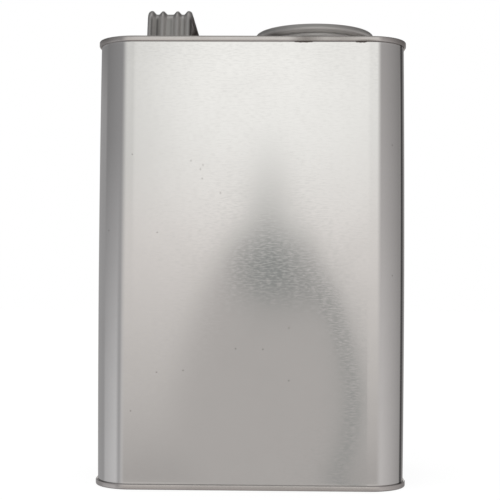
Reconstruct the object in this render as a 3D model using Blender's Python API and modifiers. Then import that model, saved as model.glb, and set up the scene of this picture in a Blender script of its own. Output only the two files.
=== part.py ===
# A one-gallon oblong tinplate can: a wrapped body, two double-seamed ends, a wide round
# mouth with a friction plug, and a corrugated strap handle.
# Metres, +Z up. The origin is the middle of the base, and the front faces -Y.

import math

import bmesh
import bpy

MM = 0.001

# Body, over the seams
can_width = 168.3 * MM
can_depth = 106.4 * MM
can_height = 241.3 * MM
corner_radius = 21.0 * MM          # in plan, at the outer face of the seams
side_bow = 0.6 * MM                # how far the walls swell at mid height
body_plate = 0.28 * MM
end_plate = 0.30 * MM

# Welded side seam, on the right front corner
weld_width = 0.9 * MM
weld_rise = 0.12 * MM
weld_shoulder = 0.15 * MM
weld_margin = 1.2 * MM             # plain wall between a seam and the weld's raised part
weld_place_share = 0.697           # along the corner's arc, from the front

# Double seams
seam_length = 3.0 * MM
layer_gap = 0.10 * MM              # between two layers of a seam
hook_clearance = 0.06 * MM         # a hook's end to the start of the turn that it reaches into
rim_bend = 0.50 * MM               # bends on both sides of the seam's flat rim
compound_room = 0.60 * MM          # between the rim's plate and the body hook
compound_width = 0.60 * MM

# Ends: chuck wall, channel and raised panel
countersink_depth = 4.0 * MM       # rim to the channel's floor
chuck_slope = 0.25 * MM
channel_radius = 1.0 * MM
channel_width = 1.0 * MM
panel_step = 0.8 * MM
panel_step_width = 1.1 * MM
foot_bead_insets = (16.0 * MM, 27.0 * MM)
foot_bead_width = 4.0 * MM
foot_bead_height = 0.9 * MM
least_corner_radius = 4.0 * MM

# Mouth: the top's drawn neck, and the friction ring folded over its lip
mouth_inset = 49.05 * MM           # axis of the mouth to the seam's outer face on the right
neck_margin = 0.3 * MM             # neck to the ring's outer wall, middle to middle
neck_root_radius = 1.5 * MM
neck_lip_radius = 0.5 * MM
ring_plate = 0.30 * MM
bead_radius = 0.85 * MM
guide_drop = 2.5 * MM              # end of the guide wall below the rim of the can
groove_radius = 0.6 * MM
groove_height = 0.9 * MM           # lid's curl to the folded edge
fold_flat = 0.85 * MM              # straight top of the folded edge
fold_return = 0.45 * MM            # straight edge under the neck's lip
gasket_plate = 0.20 * MM

# Plug
plug_plate = 0.30 * MM
plug_radius = 28.65 * MM           # outer face of the plug's wall
plug_clearance = 0.30 * MM         # plug's wall to the ring's guide wall
seat_gap = 0.30 * MM               # plug's flange to the ring's bead
lid_rise = 11.2 * MM               # top of the lid above the rim
lid_overhang = 5.6 * MM            # plug's wall to the outer face of the curl
lid_curl_height = 4.9 * MM
lid_bend = 1.0 * MM
plug_depth = 9.5 * MM              # top of the lid to the plug's floor
plug_corner = 1.2 * MM
plug_channel = 2.0 * MM
plug_step = 1.2 * MM
plug_step_width = 1.5 * MM
plug_bead_radius = 14.5 * MM
plug_bead_width = 3.4 * MM
plug_bead_height = 0.8 * MM

# Strap handle, running from front to back over the left end
handle_inset = 38.55 * MM          # strap's middle to the seam's outer face on the left
strap_plate = 0.5 * MM
strap_rise = 18.95 * MM            # top of the ridges above the rim
crest_bend = 6.0 * MM
leg_lean = math.radians(15.0)
foot_bend = 3.0 * MM
foot_length = 7.0 * MM
foot_margin = 1.8 * MM             # end of a foot to the edge of the raised panel
foot_gap = 0.15 * MM               # foot to the panel that it is welded to
edge_ridge_place = 10.0 * MM       # top of an edge ridge from the strap's middle
edge_ridge_height = 2.0 * MM
edge_ridge_foot = 2.5 * MM         # width of an edge ridge's inner flank
rib_place = 4.0 * MM
rib_height = 1.85 * MM
rib_half_width = 2.5 * MM
weld_spot_radius = 2.0 * MM
weld_spot_depth = 0.15 * MM
weld_spot_place = 6.6 * MM         # from the strap's middle line
spot_sides = 16
overrun = 1.0 * MM                 # how far a cutter stands proud

# How much of the strap's corrugation is left along a leg, at the bend below it, and in a foot
leg_relief_shares = ((0.72, 1.0), (0.88, 0.7))
bend_relief_share = 0.4
foot_relief_share = 0.12

least_merge = 0.01 * MM
tinplate = (0.74, 0.73, 0.71)
rubber_grey = (0.30, 0.30, 0.29)

# Counts
corner_steps = 5
rib_steps = 4                      # across a rib or a bead
fold_steps = 5                     # half turn of a turned piece
bend_steps = 3
wall_steps = 4
round_steps = 32

# Layers of a double seam, as insets from its outer face, each at the middle of its plate
seaming_wall = end_plate / 2
body_hook = seaming_wall + end_plate / 2 + layer_gap + body_plate / 2
cover_hook = body_hook + body_plate / 2 + layer_gap + end_plate / 2
body_wall = cover_hook + end_plate / 2 + layer_gap + body_plate / 2
chuck_wall = body_wall + body_plate / 2 + layer_gap + end_plate / 2
body_turn = (body_wall - body_hook) / 2
cover_turn = (cover_hook - seaming_wall) / 2
body_turn_drop = end_plate + compound_room + body_plate / 2 + body_turn
cover_turn_drop = seam_length - end_plate / 2 - cover_turn
body_hook_drop = cover_turn_drop - hook_clearance
cover_hook_drop = body_turn_drop + hook_clearance

# Ends: the raised panel's place
chuck_foot = chuck_wall + chuck_slope
channel_end = chuck_foot + channel_radius + channel_width
panel_edge = channel_end + panel_step_width
panel_drop = countersink_depth + end_plate / 2
raised_drop = panel_drop - panel_step
panel_height = can_height - raised_drop

# Mouth: radii at the middle of a plate, and heights above the ground
mouth_offset = can_width / 2 - mouth_inset
guide_radius = plug_radius + plug_clearance + ring_plate / 2
ring_radius = guide_radius + 2 * bead_radius
fold_radius = ring_radius + groove_radius + fold_flat
neck_radius = ring_radius + neck_margin
lid_top = can_height + lid_rise
fold_turn = end_plate / 2 + gasket_plate + 2 * layer_gap + ring_plate / 2
lip_height = lid_top - lid_curl_height - groove_height - ring_plate / 2 - fold_turn

# Handle: its crest, feet and legs
handle_offset = handle_inset - can_width / 2
crest_height = can_height + strap_rise - edge_ridge_height - strap_plate / 2
foot_height = panel_height + end_plate / 2 + foot_gap + strap_plate / 2
leg_sweep = math.pi / 2 - leg_lean
leg_fall = crest_height - foot_height - (crest_bend + foot_bend) * (1 - math.cos(leg_sweep))
leg_reach = leg_fall * math.tan(leg_lean)
bends_reach = (crest_bend + foot_bend) * math.sin(leg_sweep)
foot_end = can_depth / 2 - panel_edge - foot_margin
crest_half_length = foot_end - foot_length - bends_reach - leg_reach


def arc(center, radius, start_degrees, stop_degrees, steps):
    """Points on an arc, first to last, in the profile's own two axes."""
    points = []
    for step in range(steps + 1):
        angle = math.radians(start_degrees + (stop_degrees - start_degrees) * step / steps)
        points.append((center[0] + radius * math.cos(angle), center[1] + radius * math.sin(angle)))
    return points


def s_curve(start, stop, steps):
    """A smooth step between two points, level at both ends."""
    points = []
    for step in range(steps + 1):
        share = step / steps
        ease = share * share * (3 - 2 * share)
        points.append((start[0] + (stop[0] - start[0]) * share, start[1] + (stop[1] - start[1]) * ease))
    return points


def bump(middle, level, width, height, steps):
    """A rounded bead across a level surface, from its inner side to its outer side."""
    points = []
    for step in range(steps + 1):
        share = step / steps
        rise = height * math.sin(math.pi * share) ** 2
        points.append((middle + width * (share - 0.5), level + rise))
    return points


def outline(inset):
    """The can's plan outline, so far inside the outer face of the seams."""
    radius = max(corner_radius - inset, least_corner_radius)
    center_x = can_width / 2 - inset - radius
    center_y = can_depth / 2 - inset - radius
    points = []
    for quarter, (side_x, side_y) in enumerate(((1, 1), (-1, 1), (-1, -1), (1, -1))):
        for x, y in arc((side_x * center_x, side_y * center_y), radius,
                        90 * quarter, 90 * (quarter + 1), corner_steps):
            points.append((x, y))
    return points


def outline_with_weld(inset, rise):
    """The same outline with the side seam's four points on one facet of a corner."""
    points = outline(inset)
    steps_along = corner_steps * weld_place_share
    facet = 3 * (corner_steps + 1) + int(steps_along)
    place_share = steps_along - int(steps_along)
    (x0, y0), (x1, y1) = points[facet], points[facet + 1]
    length = math.hypot(x1 - x0, y1 - y0)
    along = ((x1 - x0) / length, (y1 - y0) / length)
    out = (along[1], -along[0])
    half = weld_width / 2
    seam = []
    for place, lift in ((-half - weld_shoulder, 0), (-half, rise), (half, rise), (half + weld_shoulder, 0)):
        reach = length * place_share + place
        seam.append((x0 + along[0] * reach + out[0] * lift, y0 + along[1] * reach + out[1] * lift))
    return points[:facet + 1] + seam + points[facet + 1:]


def circle(radius):
    return [(x + mouth_offset, y) for x, y in arc((0, 0), radius, 0, 360, round_steps)[:-1]]


def add_ring(bm, plan, height, below=None):
    """An edge loop at a height, drawn out of the loop below it where there is one."""
    if below is None:
        ring = [bm.verts.new((x, y, height)) for x, y in plan]
        for start, end in zip(ring, ring[1:] + ring[:1]):
            bm.edges.new((start, end))
        return ring
    edges = ring_edges(bm, below)
    grown = bmesh.ops.extrude_edge_only(bm, edges=edges)["geom"]
    fresh = {item for item in grown if isinstance(item, bmesh.types.BMVert)}
    ring = []
    for vert in below:
        ring.append(next(edge.other_vert(vert) for edge in vert.link_edges if edge.other_vert(vert) in fresh))
    for vert, (x, y) in zip(ring, plan):
        vert.co = (x, y, height)
    return ring


def ring_edges(bm, ring):
    return [bm.edges.get((start, end)) for start, end in zip(ring, ring[1:] + ring[:1])]


def make_object(name, bm, color, roughness, metallic=1.0):
    """An object of the can's collection with its own material, shaded smooth."""
    bmesh.ops.recalc_face_normals(bm, faces=bm.faces)
    mesh = bpy.data.meshes.new(name)
    bm.to_mesh(mesh)
    bm.free()
    mesh.shade_smooth()
    material = bpy.data.materials.new(name)
    material.use_nodes = True
    shader = material.node_tree.nodes["Principled BSDF"]
    shader.inputs["Base Color"].default_value = (*color, 1.0)
    shader.inputs["Roughness"].default_value = roughness
    shader.inputs["Metallic"].default_value = metallic
    mesh.materials.append(material)
    item = bpy.data.objects.new(name, mesh)
    parts.objects.link(item)
    return item


def thicken(item, plate):
    """Give an open surface its plate, half to each side."""
    solidify = item.modifiers.new("plate", "SOLIDIFY")
    solidify.thickness = plate
    solidify.offset = 0
    solidify.use_even_offset = True
    solidify.use_quality_normals = True


def turn(name, profile, plate, color, roughness, metallic=1.0):
    """A turned sheet piece: its profile of radius and height, spun about the mouth's axis."""
    bm = bmesh.new()
    verts = [bm.verts.new((radius, 0, height)) for radius, height in profile]
    for start, end in zip(verts, verts[1:]):
        bm.edges.new((start, end))
    item = make_object(name, bm, color, roughness, metallic)
    item.location = (mouth_offset, 0, 0)
    screw = item.modifiers.new("turn", "SCREW")
    screw.steps = round_steps
    screw.render_steps = round_steps
    screw.use_merge_vertices = True
    screw.merge_threshold = least_merge
    screw.use_smooth_shade = True
    weld = item.modifiers.new("axis", "WELD")
    weld.merge_threshold = least_merge
    thicken(item, plate)
    return item


# Body: the wrapped sheet, with its hooks at both ends


def body_half_profile():
    """The body hook and its turn, from the hook's free end to the wall, by inset and drop."""
    hook_end = [(body_hook, body_hook_drop)]
    turned = arc(((body_hook + body_wall) / 2, body_turn_drop), body_turn, 180, 360, bend_steps)
    return hook_end + turned


def make_body_shell():
    bm = bmesh.new()
    ring = None
    for inset, drop in body_half_profile():
        ring = add_ring(bm, outline_with_weld(inset, 0), can_height - drop, ring)
    low = seam_length + weld_margin
    high = can_height - low
    ring = add_ring(bm, outline_with_weld(body_wall, 0), high + weld_shoulder, ring)
    for step in range(wall_steps + 1):
        share = step / wall_steps
        swell = side_bow * 4 * share * (1 - share)
        height = high + (low - high) * share
        ring = add_ring(bm, outline_with_weld(body_wall - swell, weld_rise), height, ring)
    ring = add_ring(bm, outline_with_weld(body_wall, 0), low - weld_shoulder, ring)
    for inset, drop in reversed(body_half_profile()):
        ring = add_ring(bm, outline_with_weld(inset, 0), drop, ring)
    thicken(make_object("body_shell", bm, tinplate, 0.22), body_plate)


# Ends: cover hook, seaming wall, chuck wall, channel and panel


def end_profile():
    """From the cover hook's free end to the edge of the raised panel, by inset and drop."""
    rim = end_plate / 2 + rim_bend
    points = [(cover_hook, cover_hook_drop)]
    points += arc(((seaming_wall + cover_hook) / 2, cover_turn_drop), cover_turn, 0, 180, bend_steps)
    points += arc((seaming_wall + rim_bend, rim), rim_bend, 180, 270, bend_steps)
    points += arc((chuck_wall - rim_bend, rim), rim_bend, 270, 360, bend_steps)
    channel = (chuck_foot + channel_radius, panel_drop - channel_radius)
    points += arc(channel, channel_radius, 180, 90, bend_steps)
    points += s_curve((channel_end, panel_drop), (panel_edge, raised_drop), bend_steps)
    return points


def make_bottom_end():
    bm = bmesh.new()
    ring = None
    for inset, drop in end_profile():
        ring = add_ring(bm, outline(inset), drop, ring)
    for middle in foot_bead_insets:
        for inset, drop in bump(middle, raised_drop, foot_bead_width, foot_bead_height, rib_steps):
            ring = add_ring(bm, outline(inset), drop, ring)
    bmesh.ops.triangle_fill(bm, use_beauty=True, edges=ring_edges(bm, ring))
    thicken(make_object("bottom_end", bm, tinplate, 0.24), end_plate)


def neck_profile():
    """The drawn neck of the top, from the panel up to its turned-out lip, by radius and height."""
    root = arc((neck_radius + neck_root_radius, panel_height + neck_root_radius),
               neck_root_radius, 270, 180, bend_steps)
    lip = arc((neck_radius + neck_lip_radius, lip_height - neck_lip_radius),
              neck_lip_radius, 180, 90, bend_steps)
    return root + lip + [(fold_radius, lip_height)]


def make_top_end():
    bm = bmesh.new()
    ring = None
    for inset, drop in end_profile():
        ring = add_ring(bm, outline(inset), can_height - drop, ring)
    outer_edges = ring_edges(bm, ring)
    neck = neck_profile()
    ring = add_ring(bm, circle(neck[0][0]), neck[0][1])
    bmesh.ops.triangle_fill(bm, use_beauty=True, edges=outer_edges + ring_edges(bm, ring))
    for radius, height in neck[1:]:
        ring = add_ring(bm, circle(radius), height, ring)
    thicken(make_object("top_end", bm, tinplate, 0.24), end_plate)


def make_seam_compound(name, height):
    """A thin ring of sealing compound over the body hook, inside a seam."""
    bm = bmesh.new()
    middle = (body_hook + body_wall) / 2
    outer = add_ring(bm, outline(middle - compound_width / 2), height)
    add_ring(bm, outline(middle + compound_width / 2), height, outer)
    thicken(make_object(name, bm, rubber_grey, 0.7, 0.0), compound_room - 2 * layer_gap)


# Mouth ring, its gasket and the plug, turned about the mouth's axis


def make_mouth_ring():
    bead_height = lid_top - plug_plate - seat_gap - ring_plate / 2 - bead_radius
    groove = lip_height + fold_turn + groove_radius
    profile = [(guide_radius, can_height - guide_drop)]
    profile += arc((guide_radius + bead_radius, bead_height), bead_radius, 180, 0, fold_steps)
    profile += arc((ring_radius + groove_radius, groove), groove_radius, 180, 270, bend_steps)
    profile += arc((fold_radius, lip_height), fold_turn, 90, -90, fold_steps)
    profile.append((fold_radius - fold_return, lip_height - fold_turn))
    turn("mouth_ring", profile, ring_plate, tinplate, 0.2)


def make_mouth_gasket():
    height = lip_height + end_plate / 2 + layer_gap + gasket_plate / 2
    profile = [(neck_radius + neck_lip_radius, height), (fold_radius, height)]
    turn("mouth_gasket", profile, gasket_plate, rubber_grey, 0.8, 0.0)


def make_plug_lid():
    top = lid_top - plug_plate / 2
    floor = lid_top - plug_depth
    wall = plug_radius - plug_plate / 2
    curl = (lid_curl_height - plug_plate) / 2
    curl_center = (plug_radius + lid_overhang - plug_plate / 2 - curl, top - curl)
    shelf = wall - plug_corner - plug_channel
    raised = floor + plug_step
    profile = arc(curl_center, curl, -90, 90, fold_steps)
    profile += arc((wall + lid_bend, top - lid_bend), lid_bend, 90, 180, bend_steps)
    profile += arc((wall - plug_corner, floor + plug_corner), plug_corner, 0, -90, bend_steps)
    profile += s_curve((shelf, floor), (shelf - plug_step_width, raised), bend_steps)
    profile += bump(plug_bead_radius, raised, plug_bead_width, plug_bead_height, rib_steps)[::-1]
    profile.append((0, raised))
    turn("plug_lid", profile, plug_plate, tinplate, 0.18)


# Strap handle


def strap_section():
    """Half of the strap's corrugated section, from its middle to its edge, by place and height."""
    points = [(0, 0)]
    points += bump(rib_place, 0, 2 * rib_half_width, rib_height, rib_steps)
    ridge_top = (edge_ridge_place, edge_ridge_height)
    flank = s_curve((edge_ridge_place - edge_ridge_foot, 0), ridge_top, bend_steps)
    edge = arc((edge_ridge_place, 0), edge_ridge_height, 90, 0, bend_steps)
    return points + flank + edge[1:]


def strap_path():
    """Half of the arch from its middle out to a foot: reach, height, slope and relief."""
    path = [(0, crest_height, 0, 1), (crest_half_length / 2, crest_height, 0, 1)]
    for step in range(bend_steps + 1):
        angle = leg_sweep * step / bend_steps
        reach = crest_half_length + crest_bend * math.sin(angle)
        path.append((reach, crest_height - crest_bend * (1 - math.cos(angle)), angle, 1))
    leg_start = path[-1]
    for share, relief in leg_relief_shares:
        path.append((leg_start[0] + leg_reach * share, leg_start[1] - leg_fall * share, leg_sweep, relief))
    for step in range(bend_steps + 1):
        share = step / bend_steps
        angle = leg_sweep * (1 - share)
        reach = foot_end - foot_length - foot_bend * math.sin(angle)
        relief = bend_relief_share + (foot_relief_share - bend_relief_share) * share
        path.append((reach, foot_height + foot_bend * (1 - math.cos(angle)), angle, relief))
    path.append((foot_end, foot_height, 0, foot_relief_share))
    return path


def make_handle_strap():
    half = strap_section()
    section = [(-place, height) for place, height in reversed(half[1:])] + half
    path = strap_path()
    bm = bmesh.new()
    bmesh.ops.create_grid(bm, x_segments=len(section) - 1, y_segments=len(path) - 1, size=1)
    bm.verts.ensure_lookup_table()
    for index, vert in enumerate(bm.verts):
        place, height = section[index % len(section)]
        reach, level, angle, relief = path[index // len(section)]
        lift = height * relief
        vert.co = (place, -reach - lift * math.sin(angle), level + lift * math.cos(angle))
    strap = make_object("handle_strap", bm, tinplate, 0.26)
    strap.location = (handle_offset, 0, 0)
    mirror = strap.modifiers.new("back half", "MIRROR")
    mirror.use_axis = (False, True, False)
    mirror.merge_threshold = least_merge
    thicken(strap, strap_plate)
    for side in (-1, 1):
        for row in (-1, 1):
            sink_weld_spot(strap, handle_offset + side * weld_spot_place, row * (foot_end - foot_length / 2))


def sink_weld_spot(strap, x, y):
    """A shallow round mark of a spot weld, sunk into a foot of the strap."""
    depth = overrun + weld_spot_depth
    bpy.ops.mesh.primitive_cylinder_add(vertices=spot_sides, radius=weld_spot_radius, depth=depth)
    cutter = bpy.context.object
    cutter.name = "weld_spot"
    cutter.location = (x, y, foot_height + strap_plate / 2 - weld_spot_depth + depth / 2)
    cutter.hide_render = True
    cutter.display_type = "WIRE"
    for collection in cutter.users_collection:
        collection.objects.unlink(cutter)
    cutters.objects.link(cutter)
    cut = strap.modifiers.new("weld spot", "BOOLEAN")
    cut.operation = "DIFFERENCE"
    cut.solver = "EXACT"
    cut.object = cutter


for item in list(bpy.data.objects):
    bpy.data.objects.remove(item, do_unlink=True)
parts = bpy.data.collections.new("wide_mouth_can")
cutters = bpy.data.collections.new("cutters")
bpy.context.scene.collection.children.link(parts)
bpy.context.scene.collection.children.link(cutters)

make_body_shell()
make_top_end()
make_bottom_end()
make_seam_compound("top_seam_compound", can_height - end_plate - compound_room / 2)
make_seam_compound("bottom_seam_compound", end_plate + compound_room / 2)
make_mouth_ring()
make_mouth_gasket()
make_plug_lid()
make_handle_strap()
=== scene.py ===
import math

import bmesh
import bpy
from mathutils import Matrix, Vector


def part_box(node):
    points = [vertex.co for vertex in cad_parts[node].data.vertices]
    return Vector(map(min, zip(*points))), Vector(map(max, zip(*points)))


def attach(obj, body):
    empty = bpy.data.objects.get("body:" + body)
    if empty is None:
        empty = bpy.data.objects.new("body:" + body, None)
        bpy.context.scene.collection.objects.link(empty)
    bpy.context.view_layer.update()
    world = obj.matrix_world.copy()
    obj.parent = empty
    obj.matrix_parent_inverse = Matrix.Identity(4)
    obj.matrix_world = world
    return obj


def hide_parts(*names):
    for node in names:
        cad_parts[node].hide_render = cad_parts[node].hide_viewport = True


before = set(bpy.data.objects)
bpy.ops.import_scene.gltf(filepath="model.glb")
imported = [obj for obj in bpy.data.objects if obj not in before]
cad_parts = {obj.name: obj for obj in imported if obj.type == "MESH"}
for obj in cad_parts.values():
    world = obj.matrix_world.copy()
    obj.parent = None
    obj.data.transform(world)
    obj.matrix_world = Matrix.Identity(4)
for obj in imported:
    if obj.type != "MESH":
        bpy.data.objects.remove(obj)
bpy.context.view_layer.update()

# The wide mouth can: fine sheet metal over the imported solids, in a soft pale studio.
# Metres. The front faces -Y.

mm = 0.001

# Read from the frame
footLow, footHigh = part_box("bottom_end")
lidLow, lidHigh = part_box("plug_lid")
strapLow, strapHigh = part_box("handle_strap")
canWidth = footHigh[0] - footLow[0]
canDepth = footHigh[1] - footLow[1]
mouthPlace = (lidLow[0] + lidHigh[0]) / 2
lidTop = lidHigh[2]
strapPlace = (strapLow[0] + strapHigh[0]) / 2

can = {
    "height": 241.3 * mm,
    "cornerRadius": 21.0 * mm,     # plan, at the seams' outer face
    "leastCorner": 4.0 * mm,
    "bow": 0.6 * mm,               # how far the walls swell at mid height
    "bodyPlate": 0.28 * mm,
    "endPlate": 0.30 * mm,
    "cornerSteps": 22,
    "longSideSteps": 48,
    "shortSideSteps": 28,
    "edgeAngle": math.radians(38),                   # steeper edges stay sharp
    "mergeDistance": 0.001 * mm,
    "uvName": "sheetMap",          # U runs with the rolling lines, both in metres
}

seam = {
    "length": 3.0 * mm,
    "layerGap": 0.10 * mm,
    "hookClearance": 0.06 * mm,
    "rimBend": 0.50 * mm,
    "compoundRoom": 0.60 * mm,
    "compoundWidth": 0.60 * mm,
    "compoundShare": 0.8,          # its thickness, of the room between the layers
    "compoundSteps": 6,
    "bendSteps": 8,
}

# Layers of the double seam, as insets of their mid planes
seamingWall = can["endPlate"] / 2
bodyHook = can["endPlate"] + seam["layerGap"] + can["bodyPlate"] / 2
coverHook = bodyHook + can["bodyPlate"] / 2 + seam["layerGap"] + can["endPlate"] / 2
bodyWall = coverHook + can["endPlate"] / 2 + seam["layerGap"] + can["bodyPlate"] / 2
chuckWall = bodyWall + can["bodyPlate"] / 2 + seam["layerGap"] + can["endPlate"] / 2
bodyTurn = (bodyWall - bodyHook) / 2
coverTurn = (coverHook - seamingWall) / 2
bodyTurnDrop = can["endPlate"] + seam["compoundRoom"] + can["bodyPlate"] / 2 + bodyTurn
coverTurnDrop = seam["length"] - can["endPlate"] / 2 - coverTurn
bodyHookDrop = coverTurnDrop - seam["hookClearance"]
coverHookDrop = bodyTurnDrop + seam["hookClearance"]


# Small helpers for profiles and plans


def arcPoints(center, radius, startDegrees, stopDegrees, steps):
    points = []
    for step in range(steps + 1):
        angle = math.radians(startDegrees + (stopDegrees - startDegrees) * step / steps)
        points.append((center[0] + radius * math.cos(angle), center[1] + radius * math.sin(angle)))
    return points


def smoothShare(share):
    return share * share * (3 - 2 * share)


def easePoints(start, stop, steps):
    points = []
    for step in range(steps + 1):
        share = step / steps
        points.append((start[0] + (stop[0] - start[0]) * share,
                       start[1] + (stop[1] - start[1]) * smoothShare(share)))
    return points


def beadPoints(middle, level, width, height, steps):
    points = []
    for step in range(steps + 1):
        share = step / steps
        points.append((middle + width * (share - 0.5), level + height * math.sin(math.pi * share) ** 2))
    return points


def outlineRing(inset):
    # the can's rounded oblong, so far inside the seams' outer face, counterclockwise
    radius = max(can["cornerRadius"] - inset, can["leastCorner"])
    centerX = canWidth / 2 - inset - radius
    centerY = canDepth / 2 - inset - radius
    corners = ((1, 1), (-1, 1), (-1, -1), (1, -1))
    sideSteps = (can["longSideSteps"], can["shortSideSteps"])
    ring = []
    for quarter, (sideX, sideY) in enumerate(corners):
        center = (sideX * centerX, sideY * centerY)
        ring += arcPoints(center, radius, 90 * quarter, 90 * (quarter + 1), can["cornerSteps"])
        nextX, nextY = corners[(quarter + 1) % 4]
        angle = math.radians(90 * (quarter + 1))
        endX = nextX * centerX + radius * math.cos(angle)
        endY = nextY * centerY + radius * math.sin(angle)
        startX, startY = ring[-1]
        for step in range(1, sideSteps[quarter % 2]):
            share = step / sideSteps[quarter % 2]
            ring.append((startX + (endX - startX) * share, startY + (endY - startY) * share))
    return ring


def circleRing(radius, steps):
    return [(x + mouthPlace, y) for x, y in arcPoints((0, 0), radius, 0, 360, steps)[:-1]]


def runsOf(ring):
    # how far along each point of a closed ring lies, and its whole length last
    runs = [0.0]
    for start, end in zip(ring, ring[1:] + ring[:1]):
        runs.append(runs[-1] + math.dist(start, end))
    return runs


def placeRound(x, y):
    # run along the can's outer face from the middle of the front, + towards +X
    radius = can["cornerRadius"]
    halfX = canWidth / 2 - radius
    halfY = canDepth / 2 - radius
    nearX = min(abs(x), halfX)
    nearY = max(-halfY, min(halfY, y))
    turn = math.atan2(abs(x) - nearX, -(y - nearY))
    if nearX < halfX:
        inner = nearX if y < 0 else 2 * halfX + 2 * halfY - nearX
        turn = 0 if y < 0 else math.pi
    else:
        inner = halfX + nearY + halfY
    return math.copysign(inner + radius * turn, x)


outlineRuns = runsOf(outlineRing(0))
roundLength = outlineRuns[-1]


# Mesh helpers


def loftRings(bm, rings, runs):
    # a sheet through closed rings; U is the run round, V the run along the profile
    layer = bm.loops.layers.uv.get(can["uvName"]) or bm.loops.layers.uv.new(can["uvName"])
    verts = [[bm.verts.new(point) for point in ring] for ring in rings]
    count = len(rings[0])
    run = 0.0
    for row in range(len(rings) - 1):
        span = math.dist(rings[row][count // 2], rings[row + 1][count // 2])
        for index in range(count):
            after = (index + 1) % count
            corners = (verts[row][index], verts[row + 1][index], verts[row + 1][after], verts[row][after])
            places = ((index, 0), (index, span), (index + 1, span), (index + 1, 0))
            face = bm.faces.new(corners)
            for loop, (place, rise) in zip(face.loops, places):
                loop[layer].uv = (runs[place], run + rise)
        run += span
    return verts


def fillFlat(bm, edges):
    # a flat stretch of sheet, its rolling lines along X
    layer = bm.loops.layers.uv.get(can["uvName"])
    made = bmesh.ops.triangle_fill(bm, use_beauty=True, edges=edges)["geom"]
    for face in made:
        if isinstance(face, bmesh.types.BMFace):
            for loop in face.loops:
                loop[layer].uv = loop.vert.co.xy


def ringEdges(bm, ring):
    return [bm.edges.get((start, end)) for start, end in zip(ring, ring[1:] + ring[:1])]


def makeItem(name, data, material=None):
    item = bpy.data.objects.new(name, data)
    bpy.context.scene.collection.objects.link(item)
    if material:
        data.materials.append(material)
    return item


def meshOf(name, bm):
    bmesh.ops.recalc_face_normals(bm, faces=bm.faces)
    mesh = bpy.data.meshes.new(name)
    bm.to_mesh(mesh)
    bm.free()
    return mesh


def addPlate(item, plate):
    # gives an open sheet its thickness, half to each side
    solid = item.modifiers.new("plate", "SOLIDIFY")
    solid.thickness = plate
    solid.offset = 0
    solid.use_even_offset = True
    solid.use_quality_normals = True


def settle(item, body, slotName, *nodes):
    # plain mesh out of the modifiers, smooth but for its real edges, then parented to its body's empty, and
    # the CAD parts it stands for hidden
    depsgraph = bpy.context.evaluated_depsgraph_get()
    mesh = bpy.data.meshes.new_from_object(item.evaluated_get(depsgraph),
                                           preserve_all_data_layers=True, depsgraph=depsgraph)
    item.modifiers.clear()
    item.data = mesh
    mesh.name = item.name
    mesh.shade_smooth()
    mesh.set_sharp_from_angle(angle=can["edgeAngle"])
    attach(item, body)
    if nodes:
        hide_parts(*nodes)
    print(item.name, "made,", len(mesh.polygons), "faces")


# Node helpers, for shaders and geometry alike


class nodeOutput:
    # one output of a node; + - * / and abs() with it make the node that works the value out

    def __init__(self, socket):
        self.socket = socket
        self.tree = socket.id_data

    def __add__(self, other):
        return calc("ADD", self, other)

    def __mul__(self, other):
        return calc("MULTIPLY", self, other)

    def __sub__(self, other):
        return calc("SUBTRACT", self, other)

    def __rsub__(self, other):
        return calc("SUBTRACT", other, self)

    def __truediv__(self, other):
        return calc("DIVIDE", self, other)

    def __rtruediv__(self, other):
        return calc("DIVIDE", other, self)

    def __abs__(self):
        return calc("ABSOLUTE", self)

    __radd__ = __add__
    __rmul__ = __mul__


def feed(socket, value):
    # links an output to the socket, or sets the socket's own value; a plain colour is opaque
    if isinstance(value, nodeOutput):
        value.tree.links.new(value.socket, socket)
    elif socket.type == "RGBA":
        socket.default_value = (*value[:3], 1.0)
    else:
        socket.default_value = value


def fill(node, values):
    for name, value in values.items():
        feed(node.inputs[name], value)


def put(tree, kind, inputs=None, **settings):
    node = tree.nodes.new(kind)
    for name, value in settings.items():
        setattr(node, name, value)
    fill(node, inputs or {})
    return node


def outputsOf(node, *names):
    # the named outputs, or else all
    return [nodeOutput(node.outputs[name]) for name in names or range(len(node.outputs))]


def take(tree, kind, inputs=None, output=0, **settings):
    # one output of a new node, by its name or place
    return nodeOutput(put(tree, kind, inputs, **settings).outputs[output])


def firstTree(values):
    return next(value.tree for value in values if isinstance(value, nodeOutput))


def calc(operation, *values):
    # with numbers, or with vectors where one of the values is a vector or a colour
    kinds = [value.socket.type for value in values if isinstance(value, nodeOutput)]
    node = "ShaderNodeVectorMath" if "VECTOR" in kinds or "RGBA" in kinds else "ShaderNodeMath"
    return take(firstTree(values), node, dict(enumerate(values)), operation=operation)


def lengthOf(vector):
    return take(vector.tree, "ShaderNodeVectorMath", {0: vector}, "Value", operation="LENGTH")


def partsOf(vector):
    return outputsOf(put(vector.tree, "ShaderNodeSeparateXYZ", {0: vector}))


def joined(x=0.0, y=0.0, z=0.0):
    return take(firstTree((x, y, z)), "ShaderNodeCombineXYZ", {0: x, 1: y, 2: z})


def fade(value, low, high, start=0.0, stop=1.0):
    # start at low, stop at high, smoothly between
    return take(value.tree, "ShaderNodeMapRange", {"Value": value, "From Min": low, "From Max": high,
                                                   "To Min": start, "To Max": stop},
                interpolation_type="SMOOTHSTEP")


def blendColor(share, first, second):
    node = put(share.tree, "ShaderNodeMix", data_type="RGBA")
    sockets = {socket.identifier: socket for socket in [*node.inputs, *node.outputs]}
    for name, value in (("Factor_Float", share), ("A_Color", first), ("B_Color", second)):
        feed(sockets[name], value)
    return nodeOutput(sockets["Result_Color"])


def objectPlace(tree):
    return take(tree, "ShaderNodeTexCoord", output="Object")


def sheetPlace(tree):
    return take(tree, "ShaderNodeUVMap", uv_map=can["uvName"])


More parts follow.
